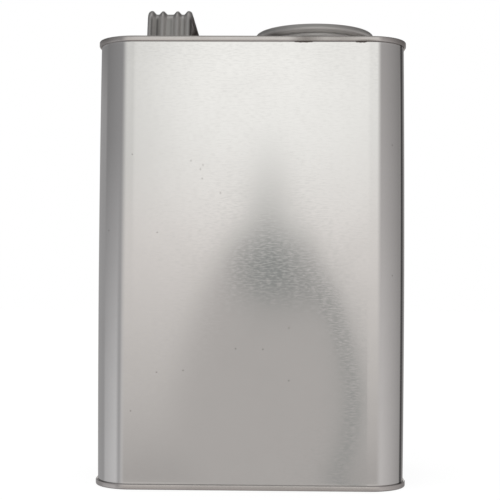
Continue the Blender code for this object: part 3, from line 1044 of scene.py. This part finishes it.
strap = {
    "plate": 0.5 * mm,
    "crestBend": 6.0 * mm,
    "legLean": math.radians(15.0),
    "footBend": 3.0 * mm,
    "footLength": 7.0 * mm,
    "footMargin": 1.8 * mm,
    "footGap": 0.15 * mm,
    "edgeRidgePlace": 10.0 * mm,
    "edgeRidgeHeight": 2.0 * mm,
    "edgeRidgeFoot": 2.5 * mm,
    "ribPlace": 4.0 * mm,
    "ribHeight": 1.85 * mm,
    "ribHalfWidth": 2.5 * mm,
    "ribSteps": 20,
    "ridgeSteps": 14,
    "fadeStartShare": 0.70,        # down the leg; the ribs have faded out at the end of the foot's bend
    "footRelief": 0.12,
    "bendSteps": 24,
    "step": 0.4 * mm,
    "across": 97,
    "along": 321,
    "spotRadius": 2.0 * mm,
    "spotDepth": 0.15 * mm,
    "spotPlace": 6.6 * mm,
    "spotFloor": (0.62, 1.0),      # the dimple's flat and edge, as shares of its radius
    "spotWall": (0.85, 1.0),       # the lip round it rises between these
    "spotLip": (1.35, 1.1, 0.35),  # the lip's outer and inner edge, and its height
    "spotFades": (1 * mm, 1.5 * mm),                 # above the foot
    "tintReach": 1.5,              # of the spot's radius
    "tintSoftness": 0.55,
    "tintFades": (1 * mm, 2 * mm),                   # above the foot
    "tintDepth": 0.55,
    "tintStain": ((0.34, 0.28, 0.22), 0.1, 0.0),
    # painted shade lines on the legs: place across, half width and depth
    "marks": ((-9.8 * mm, 0.9 * mm, 0.75), (-6.9 * mm, 1.3 * mm, 0.85), (0.8 * mm, 1.1 * mm, 0.30),
              (8.0 * mm, 0.9 * mm, 0.28), (11.6 * mm, 1.6 * mm, 0.95)),
    "markTop": (5 * mm, 1 * mm),   # they end between these below the crest
    "markFoot": (0.5 * mm, 3 * mm),                  # and between these above the foot
    "markStainAndShade": ((0.13, 0.125, 0.12), 0.1, 0.0),
}

crestHeight = strapHigh[2] - strap["edgeRidgeHeight"] - strap["plate"] / 2
footHeight = panelHeight + can["endPlate"] / 2 + strap["footGap"] + strap["plate"] / 2
legSweep = math.pi / 2 - strap["legLean"]
legFall = crestHeight - footHeight - (strap["crestBend"] + strap["footBend"]) * (1 - math.cos(legSweep))
legReach = legFall * math.tan(strap["legLean"])
footEnd = canDepth / 2 - panelEdge - strap["footMargin"]
footStart = footEnd - strap["footLength"]
bendsReach = (strap["crestBend"] + strap["footBend"]) * math.sin(legSweep)
crestHalf = footStart - bendsReach - legReach
spotCenter = (strap["spotPlace"], footEnd - strap["footLength"] / 2, 0.0)


def strapSection():
    half = [(0, 0)]
    half += beadPoints(strap["ribPlace"], 0, 2 * strap["ribHalfWidth"], strap["ribHeight"], strap["ribSteps"])
    ridgePlace = strap["edgeRidgePlace"]
    ridgeHeight = strap["edgeRidgeHeight"]
    half += easePoints((ridgePlace - strap["edgeRidgeFoot"], 0), (ridgePlace, ridgeHeight),
                       strap["ridgeSteps"])
    half += arcPoints((ridgePlace, 0), ridgeHeight, 90, 0, strap["ridgeSteps"])[1:]
    return [(-place, height) for place, height in reversed(half[1:])] + half


def strapPath():
    # half of the arch, from its middle to a foot's end: reach, height and how much relief is left
    crestBend = strap["crestBend"]
    footBend = strap["footBend"]
    legLength = legFall / math.cos(strap["legLean"])
    fadeStart = legLength * strap["fadeStartShare"]
    fadeLength = legLength - fadeStart + footBend * legSweep

    def reliefAt(run):
        faded = min(1.0, max(0.0, (run - fadeStart) / fadeLength))
        return 1.0 + (strap["footRelief"] - 1.0) * smoothShare(faded)

    def sharesOf(length, start=1):
        steps = max(2, round(length / strap["step"]))
        return [step / steps for step in range(start, steps + start)]

    path = [(crestHalf * share, crestHeight, 1.0) for share in sharesOf(crestHalf, 0)]
    for step in range(strap["bendSteps"] + 1):
        angle = legSweep * step / strap["bendSteps"]
        path.append((crestHalf + crestBend * math.sin(angle),
                     crestHeight - crestBend * (1 - math.cos(angle)), 1.0))
    startReach, startHeight = path[-1][:2]
    for share in sharesOf(legFall):
        path.append((startReach + legReach * share, startHeight - legFall * share,
                     reliefAt(legLength * share)))
    for step in range(1, strap["bendSteps"] + 1):
        share = step / strap["bendSteps"]
        angle = legSweep * (1 - share)
        path.append((footStart - footBend * math.sin(angle), footHeight + footBend * (1 - math.cos(angle)),
                     reliefAt(legLength + footBend * legSweep * share)))
    for share in sharesOf(strap["footLength"]):
        path.append((footStart + strap["footLength"] * share, footHeight, strap["footRelief"]))
    return path


def foldedPlace(where, middle):
    # place mirrored about both middles of the strap, so that one foot's spot stands for all four
    return joined(abs(where[0] - middle), abs(where[1]))


def makeStrapTree():
    tree, get, result = newGroup("GeometryNodeTree", "ribbedStrap", {
        "Geometry": ["Geometry"], "Object": ["Section"], "Material": ["Material"], "String": ["Map name"],
        "Int": ["Across", "Along"], "Vector": ["Spot place"],
        "Float": ["Place", "Spot radius", "Spot depth", "Foot height", "Width", "Length"]}, {
        "Geometry": ["Geometry"]})
    path = take(tree, "GeometryNodeMeshToCurve", {"Mesh": get["Geometry"]})
    section = take(tree, "GeometryNodeObjectInfo", {"Object": get["Section"]}, "Geometry")
    section = take(tree, "GeometryNodeMeshToCurve", {"Mesh": section})
    grid, gridMap = outputsOf(put(tree, "GeometryNodeMeshGrid", {
        "Size X": 1.0, "Size Y": 1.0, "Vertices X": get["Across"], "Vertices Y": get["Along"]}))
    shares = partsOf(take(tree, "GeometryNodeInputPosition") + (0.5, 0.5, 0.0))
    across = partsOf(take(tree, "GeometryNodeSampleCurve", {"Curves": section, "Factor": shares[0]},
                          "Position", mode="FACTOR"))
    relief = take(tree, "GeometryNodeInputNamedAttribute", {"Name": "relief"}, data_type="FLOAT")
    along = put(tree, "GeometryNodeSampleCurve", {"Curves": path, "Value": relief, "Factor": shares[1]},
                mode="FACTOR", data_type="FLOAT")
    reliefHere, position, tangent = outputsOf(along, "Value", "Position", "Tangent")
    up = calc("CROSS_PRODUCT", (1.0, 0.0, 0.0), tangent)
    place = position + joined(across[0] + get["Place"]) + up * (across[1] * reliefHere)
    sheet = take(tree, "GeometryNodeSetPosition", {"Geometry": grid, "Position": place})
    # the four spot welds
    here = partsOf(take(tree, "GeometryNodeInputPosition"))
    share = lengthOf(foldedPlace(here, get["Place"]) - get["Spot place"]) / get["Spot radius"]
    sunk = fade(share, *strap["spotFloor"], 1.0, 0.0)
    lipOuter, lipInner, lipHeightShare = strap["spotLip"]
    pushed = fade(share, lipOuter, lipInner, 0.0, lipHeightShare) * fade(share, *strap["spotWall"])
    low = fade(here[2] - get["Foot height"], *strap["spotFades"], 1.0, 0.0)
    dip = (pushed - sunk) * get["Spot depth"] * low
    sheet = take(tree, "GeometryNodeSetPosition", {"Geometry": sheet, "Offset": joined(z=dip)})
    # U runs with the strip, V across it
    flat = partsOf(gridMap)
    sheet = take(tree, "GeometryNodeStoreNamedAttribute", {
        "Geometry": sheet, "Name": get["Map name"],
        "Value": joined(flat[1] * get["Length"], flat[0] * get["Width"])},
        data_type="FLOAT2", domain="CORNER")
    return endTree(tree, result, sheet, get["Material"])


def spotTint(tree):
    # a faint heat ring about each spot weld
    where = partsOf(objectPlace(tree))
    reach = strap["spotRadius"] * strap["tintReach"]
    start, stop = strap["tintFades"]
    low = fade(where[2], footHeight + start, footHeight + stop, strap["tintDepth"], 0.0)
    return low * softMask(foldedPlace(where, strapPlace), spotCenter, (reach, reach, 1.0),
                          strap["tintSoftness"])


def valleyShade(tree):
    # painted shade in the valleys between the ribs, and a painted shadow along each rolled edge
    where = partsOf(objectPlace(tree))
    marks = [fade(abs(where[0] - (strapPlace + middle)), 0.0, reach, depth, 0.0)
             for middle, reach, depth in strap["marks"]]
    topStart, topStop = strap["markTop"]
    footStop, footFull = strap["markFoot"]
    underCrest = fade(where[2], crestHeight - topStart, crestHeight - topStop, 1.0, 0.0)
    overFoot = fade(where[2], footHeight + footStop, footHeight + footFull)
    return sum(marks) * underCrest * overFoot


def makeHandleStrap():
    half = strapPath()
    whole = [(-reach, height, relief) for reach, height, relief in reversed(half[1:])] + half
    item = polylineItem("handleStrap", [(0, reach, height) for reach, height, relief in whole])
    layer = item.data.attributes.new("relief", "FLOAT", "POINT")
    for index, (reach, height, relief) in enumerate(whole):
        layer.data[index].value = relief
    section = strapSection()
    sectionItem = polylineItem("strapSection", [(place, height, 0) for place, height in section])
    material = makeTin("strapTin", ((valleyShade, strap["markStainAndShade"]), (spotTint, strap["tintStain"])))
    addTree(item, makeStrapTree(), {
        "Section": sectionItem, "Across": strap["across"], "Along": strap["along"], "Place": strapPlace,
        "Spot place": spotCenter, "Spot radius": strap["spotRadius"], "Spot depth": strap["spotDepth"],
        "Foot height": footHeight, "Width": runsOf(section)[-2],
        "Length": runsOf([(reach, height) for reach, height, relief in whole])[-2],
        "Map name": can["uvName"], "Material": material})
    addPlate(item, strap["plate"])
    settle(item, "can", "handle_tinplate", "handle_strap")
    bpy.data.objects.remove(sectionItem)


makeHandleStrap()


# Compound that the seaming squeezed out under the rim, in two places on the front

squeezed = {
    "spans": ((22.5 * mm, 32.6 * mm), (55.2 * mm, 61.2 * mm)),
    "radius": 0.30 * mm,
    "leastRadius": 0.004 * mm,
    "endPower": 0.35,              # how blunt the ends are
    "waveDepth": 0.18,
    "waves": 19,                   # radians along a bead
    "wavePhase": 900,              # radians for each metre that a bead lies further right
    "flatShare": 0.9,
    "sunkShare": 0.4,              # how far a bead sinks into the corner, of its radius
    "steps": 26,
    "sides": 12,
}


def makeSqueezedBeads():
    bm = bmesh.new()
    wallFace = -canDepth / 2 + bodyWall - can["bodyPlate"] / 2
    height = can["height"] - seam["length"] - squeezed["radius"] * squeezed["sunkShare"]
    for start, stop in squeezed["spans"]:
        rings = []
        for step in range(squeezed["steps"] + 1):
            share = step / squeezed["steps"]
            full = math.sin(math.pi * share) ** squeezed["endPower"] if 0 < share < 1 else 0.0
            wave = math.sin(share * squeezed["waves"] + start * squeezed["wavePhase"])
            full *= 1 + squeezed["waveDepth"] * wave
            radius = max(squeezed["radius"] * full, squeezed["leastRadius"])
            circle = arcPoints((0, 0), radius, 0, 360, squeezed["sides"])[:-1]
            face = wallFace - radius * squeezed["sunkShare"]
            rings.append([(start + (stop - start) * share, face + y * squeezed["flatShare"], height + z)
                          for y, z in circle])
        verts = loftRings(bm, rings, runsOf(circle))
        bm.faces.new(verts[0])
        bm.faces.new(verts[-1])
    item = makeItem("squeezedBeads", meshOf("squeezedBeads", bm), makeCompound("squeezedCompound"))
    settle(item, "can", "sealing_compound")


makeSqueezedBeads()


# Studio: what the metal mirrors, by direction

studio = {
    "top": 1.15,                   # the most that a stop may hold
    # brightness by elevation in degrees: before the can and behind it, to its left, to its right
    "frontStops": ((-90, 0.30), (-50, 0.38), (-30, 0.44), (-11.3, 0.425), (-9.6, 0.50), (-6.7, 0.58),
                   (-3.8, 0.645), (-1.8, 0.70), (0.2, 0.78), (2.2, 0.87), (4.2, 0.95), (6.2, 0.995),
                   (8, 1.045), (9.2, 1.075), (11, 1.095), (12.2, 1.13), (17, 0.80), (24, 0.56),
                   (31, 0.50), (42, 0.31), (60, 0.36), (75, 0.42), (84, 0.60), (90, 0.80)),
    "leftStops": ((-90, 0.12), (-50, 0.22), (-30, 0.50), (-10, 0.59), (-5, 0.53), (0, 0.43), (5, 0.34),
                  (7, 0.30), (12, 0.27), (25, 0.28), (45, 0.30), (75, 0.42), (84, 0.60), (90, 0.80)),
    "rightStops": ((-90, 0.12), (-50, 0.20), (-30, 0.48), (-10, 0.565), (-5, 0.55), (0, 0.505), (5, 0.45),
                   (9, 0.415), (12, 0.385), (25, 0.33), (45, 0.30), (75, 0.42), (84, 0.60), (90, 0.80)),
    "highTint": (1.0, 0.998, 0.973),
    "lowTint": (1.020, 0.978, 0.950),
    "tintRise": (0.0, 8.5),        # degrees of elevation between the two
    "leftTint": (1.0, 0.99, 1.0),
    "rightTint": (1.02, 0.985, 0.975),
    # degrees off the front where its light gives way to the side's, on the left and on the right
    "frontEdges": ((24.5, 44.5), (25, 42)),
    "backEdge": (8, 20),           # the same off the back
    "backDepth": 0.2,              # how much darker it is than the front
    "sideTurn": (45, 110),         # the sides' light falls off from the first angle to the second
    "sideShares": ((1.10, 0.80), (1.03, 0.66)),      # its levels there, on the left and on the right
    "farEdges": ((97, 110), (112, 124)),             # and is even behind these
    "farStops": ((-90, 0.20), (-30, 0.34), (9, 0.36), (15, 0.14), (25, 0.09), (50, 0.16), (75, 0.40),
                 (84, 0.60), (90, 0.80)),
    "farDepth": 0.2,               # how much darker it is behind on the right
    "gapPlace": (44, -9),          # a darker gap low on the left, by degrees off the front and elevation
    "gapReach": (13, 18),
    "gapDepth": 0.38,
    # the front's light falls off to its upper left and right; places are for a distance of 1
    "fallDepth": (0.29, 0.13),
    "fallCenter": -0.012,
    "fallReach": (0.03, 0.16),
    "fallRise": (-0.09, 0.16),
    # a soft dark screen stands before the front: half its width by height, its edges and levels
    "screenCenter": -0.001,
    "screenWidths": ((-0.21, 0.064), (-0.165, 0.080), (-0.118, 0.085), (-0.072, 0.077), (-0.025, 0.063),
                     (0.015, 0.044), (0.030, 0.040), (0.055, 0.034), (0.080, 0.010)),
    "screenTop": (0.016, 0.062),   # it thins out between these
    "screenSoft": (0.018, 0.004),  # its edge on the left and on the right
    "screenLevel": 0.487,
    "plumePlace": (-0.003, 0.045),
    "plumeReach": (0.031, 0.115),
    "plumeDepth": 0.37,
    "corePlace": (-0.001, 0.006),
    "coreReach": (0.053, 0.058),
    "coreDepth": 0.46,
    "tailPlace": (0.036, -0.016),
    "tailReach": (0.034, 0.034),
    "tailDepth": 0.22,
    "coolShares": (1.03, 1.14),    # how much more red than green goes down in the plume and in the core
    "hemPlace": 0.010,             # a darker line inside the screen's right edge
    "hemReach": 0.015,
    "hemTop": (-0.035, 0.005),     # it fades out between these heights
    "hemDepth": 0.34,
    "leastDepth": 0.0001,          # keeps the division by depth finite
    "ambient": 0.8,
}


def stopRamp(value, stops, most=1.0):
    # a value by another one, straight between the stops; the ramp holds shares of most
    low = stops[0][0]
    span = stops[-1][0] - low
    ramp = put(value.tree, "ShaderNodeValToRGB", {0: (value - low) / span})
    elements = ramp.color_ramp.elements
    while len(elements) < len(stops):
        elements.new(0.5)
    for element, (place, level) in zip(elements, stops):
        element.position = (place - low) / span
    for element, (place, level) in zip(elements, stops):
        element.color = (level / most, level / most, level / most, 1.0)
    return outputsOf(ramp)[0]


def dimmed(color, mask, depth, coolShare=1.0):
    # the colour, darker by depth where the mask is 1; red goes down more by the cool share
    lost = mask * depth
    kept = 1.0 - lost
    return color * joined(1.0 - lost * coolShare, kept, kept)


def bySide(onRight, pair):
    # the first value on the left, the second on the right
    return onRight * (pair[1] - pair[0]) + pair[0]


def edgesBySide(onRight, pairs):
    # the left's pair or the right's
    return [bySide(onRight, pair) for pair in zip(*pairs)]


def studioSpot(place, name):
    return softMask(place, (*studio[name + "Place"], 0.0), (*studio[name + "Reach"], 1.0))


def frontLight(plane, elevation, onRight):
    tint = blendColor(fade(elevation, *studio["tintRise"]), studio["lowTint"], studio["highTint"])
    light = stopRamp(elevation, studio["frontStops"], studio["top"]) * tint
    across, up = partsOf(plane)[:2]
    fallen = fade(up, *studio["fallRise"]) * fade(abs(across - studio["fallCenter"]), *studio["fallReach"])
    light = dimmed(light, fallen, bySide(onRight, studio["fallDepth"]))
    coolPlume, coolCore = studio["coolShares"]
    light = dimmed(light, studioSpot(plane, "plume"), studio["plumeDepth"], coolPlume)
    # the screen: how far inside its edge each place lies, and how dark it is there
    width = partsOf(stopRamp(up, studio["screenWidths"]))[0]
    inside = width - abs(across - studio["screenCenter"])
    shade = fade(inside / bySide(onRight, studio["screenSoft"]), -1.0, 1.0)
    shade *= fade(up, *studio["screenTop"], 1.0, 0.0)
    level = studio["screenLevel"] / studio["top"]
    light = blendColor(shade, light, tint * (level, level, level))
    light = dimmed(light, studioSpot(plane, "core"), studio["coreDepth"], coolCore)
    light = dimmed(light, studioSpot(plane, "tail"), studio["tailDepth"], coolCore)
    hem = fade(abs(inside - studio["hemPlace"]), 0.0, studio["hemReach"], 1.0, 0.0)
    hem *= fade(up, *studio["hemTop"], 1.0, 0.0)
    return dimmed(light, hem * onRight, studio["hemDepth"], coolCore)


def sideLight(turn, elevation, onRight):
    light = blendColor(onRight, *(stopRamp(elevation, studio[name], studio["top"])
                                  for name in ("leftStops", "rightStops")))
    gap = studioSpot(joined(turn, elevation), "gap")
    light = dimmed(light, gap * (1.0 - onRight), studio["gapDepth"])
    start, stop = studio["sideTurn"]
    swing = calc("MINIMUM", calc("MAXIMUM", (turn - start) / (stop - start), 0.0), 1.0)
    near, far = edgesBySide(onRight, studio["sideShares"])
    light *= near + swing * (far - near)
    behind = dimmed(stopRamp(elevation, studio["farStops"], studio["top"]), onRight, studio["farDepth"])
    light = blendColor(fade(turn, *edgesBySide(onRight, studio["farEdges"])), light, behind)
    return light * blendColor(onRight, studio["leftTint"], studio["rightTint"])


def makeStudio():
    world = bpy.data.worlds.new("studio")
    bpy.context.scene.world = world
    world.use_nodes = True
    tree = world.node_tree
    tree.nodes.clear()
    toX, toY, toZ = partsOf(take(tree, "ShaderNodeTexCoord", output="Generated"))
    depth = calc("MAXIMUM", abs(toY), studio["leastDepth"])
    degree = math.degrees(1)
    elevation = calc("ARCSINE", toZ) * degree
    turn = calc("ARCTAN2", abs(toX), toY * -1.0) * degree
    onRight = calc("GREATER_THAN", toX, 0.0)
    front = frontLight(joined(toX / depth, toZ / depth), elevation, onRight)
    front = dimmed(front, calc("GREATER_THAN", toY, 0.0), studio["backDepth"])
    side = sideLight(turn, elevation, onRight)
    backStart, backStop = (180 - angle for angle in reversed(studio["backEdge"]))
    offFront = fade(turn, *edgesBySide(onRight, studio["frontEdges"])) - fade(turn, backStart, backStop)
    mirrored = take(tree, "ShaderNodeBackground", {"Color": blendColor(offFront, front, side),
                                                   "Strength": studio["top"]})
    soft, white = (take(tree, "ShaderNodeBackground", {"Color": (1.0, 1.0, 1.0), "Strength": strength})
                   for strength in (studio["ambient"], 1.0))
    seen, glossy, through = outputsOf(put(tree, "ShaderNodeLightPath"), "Is Camera Ray", "Is Glossy Ray",
                                      "Is Transmission Ray")
    lit = take(tree, "ShaderNodeMixShader", {0: calc("MAXIMUM", glossy, through), 1: soft, 2: mirrored})
    put(tree, "ShaderNodeOutputWorld", {0: take(tree, "ShaderNodeMixShader", {0: seen, 1: lit, 2: white})})


floor = {
    "size": 6.0,
    "drop": 0.2 * mm,
    "albedo": 0.85,
    "whiteShare": 0.8,
    "whiteLevel": 1.10,
}


def makeFloor():
    mesh = bpy.data.meshes.new("paleFloor")
    half = floor["size"] / 2
    square = ((-half, -half), (half, -half), (half, half), (-half, half))
    mesh.from_pydata([(x, y, -floor["drop"]) for x, y in square], [], [(0, 1, 2, 3)])
    material, tree, shader = startMaterial("palePaper")
    tree.nodes.remove(shader)
    paper = take(tree, "ShaderNodeBsdfDiffuse", {"Color": [floor["albedo"]] * 3})
    white = take(tree, "ShaderNodeEmission", {"Color": (1.0, 1.0, 1.0), "Strength": floor["whiteLevel"]})
    seen = take(tree, "ShaderNodeLightPath", output="Is Camera Ray")
    look = take(tree, "ShaderNodeMixShader", {0: seen * floor["whiteShare"], 1: paper, 2: white})
    fill(tree.nodes["Material Output"], {0: look})
    item = makeItem("paleFloor", mesh, material)
    item.visible_glossy = False


lamp = {
    "place": (-0.5, -0.9, 1.5),
    "size": 1.4,
    "power": 6.0,
}


def makeLamp():
    light = bpy.data.lights.new("softBox", "AREA")
    light.shape = "SQUARE"
    light.size = lamp["size"]
    light.energy = lamp["power"]
    item = makeItem("softBox", light)
    item.location = lamp["place"]
    aim = Vector((0, 0, can["height"] / 2)) - item.location
    item.rotation_euler = aim.to_track_quat("-Z", "Y").to_euler()
    item.visible_glossy = False


camera = {
    "place": (11.3 * mm, -653.2 * mm, 113.1 * mm),
    "yaw": math.radians(1.11),
    "pitch": math.radians(1.335),
    "roll": math.radians(-0.345),
    "lens": 81.56,                 # millimetres, as the sensor's width
    "sensorWidth": 36.0,
    "nearClip": 10 * mm,
}


def makeCamera():
    lensData = bpy.data.cameras.new("camera")
    lensData.lens = camera["lens"]
    lensData.sensor_width = camera["sensorWidth"]
    lensData.clip_start = camera["nearClip"]
    item = makeItem("camera", lensData)
    turned = Matrix.Rotation(math.pi / 2, 4, "X")
    for angle, axis in ((camera["roll"], "Y"), (camera["pitch"], "X"), (camera["yaw"], "Z")):
        turned = Matrix.Rotation(angle, 4, axis) @ turned
    item.matrix_world = Matrix.Translation(camera["place"]) @ turned
    bpy.context.scene.camera = item


makeStudio()
makeFloor()
makeLamp()
makeCamera()
bpy.context.scene.view_settings.view_transform = "Standard"
print("studio and camera set")
